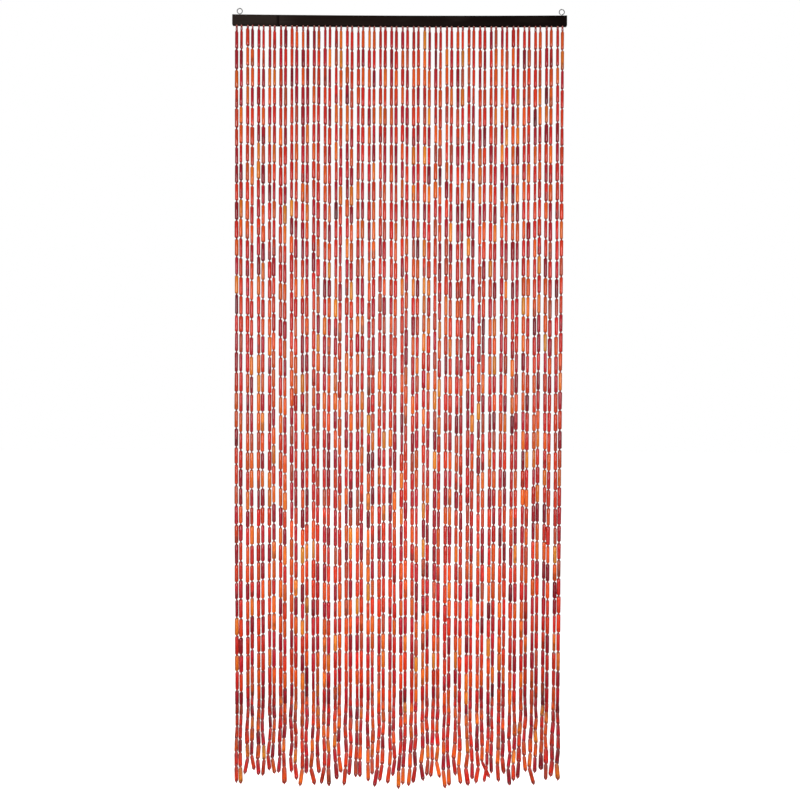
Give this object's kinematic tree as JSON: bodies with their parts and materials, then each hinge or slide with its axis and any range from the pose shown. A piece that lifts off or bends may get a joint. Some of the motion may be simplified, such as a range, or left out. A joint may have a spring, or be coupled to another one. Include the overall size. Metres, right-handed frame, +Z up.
{
  "type": "bamboo door curtain with header bar",
  "caption": "Doorway curtain: a flat stained header bar with two screw eyes, and paired strands of dyed bamboo tubes that hang to the floor and lie forward on it.",
  "frame": {"origin": "the middle of the header bar's back face, half way along it and level with the middle of its ends", "axes": "+X along the bar, to the right as seen from the front; +Y back, out of the bar's back face; +Z up. The front is -Y"},
  "size_m": [0.9083, 0.3559, 1.9109],
  "materials": {
    "stained_wood": "satin",
    "steel_wire": "satin",
    "dyed_bamboo": "gloss"
  },
  "bodies": {
    "root": {"header_bar": "stained_wood", "screw_eye_left": "steel_wire", "screw_eye_right": "steel_wire", "strand_set_1": "dyed_bamboo", "strand_set_2": "dyed_bamboo", "strand_set_3": "dyed_bamboo", "strand_set_4": "dyed_bamboo", "strand_set_5": "dyed_bamboo", "strand_set_6": "dyed_bamboo"}
  },
  "joints": []
}
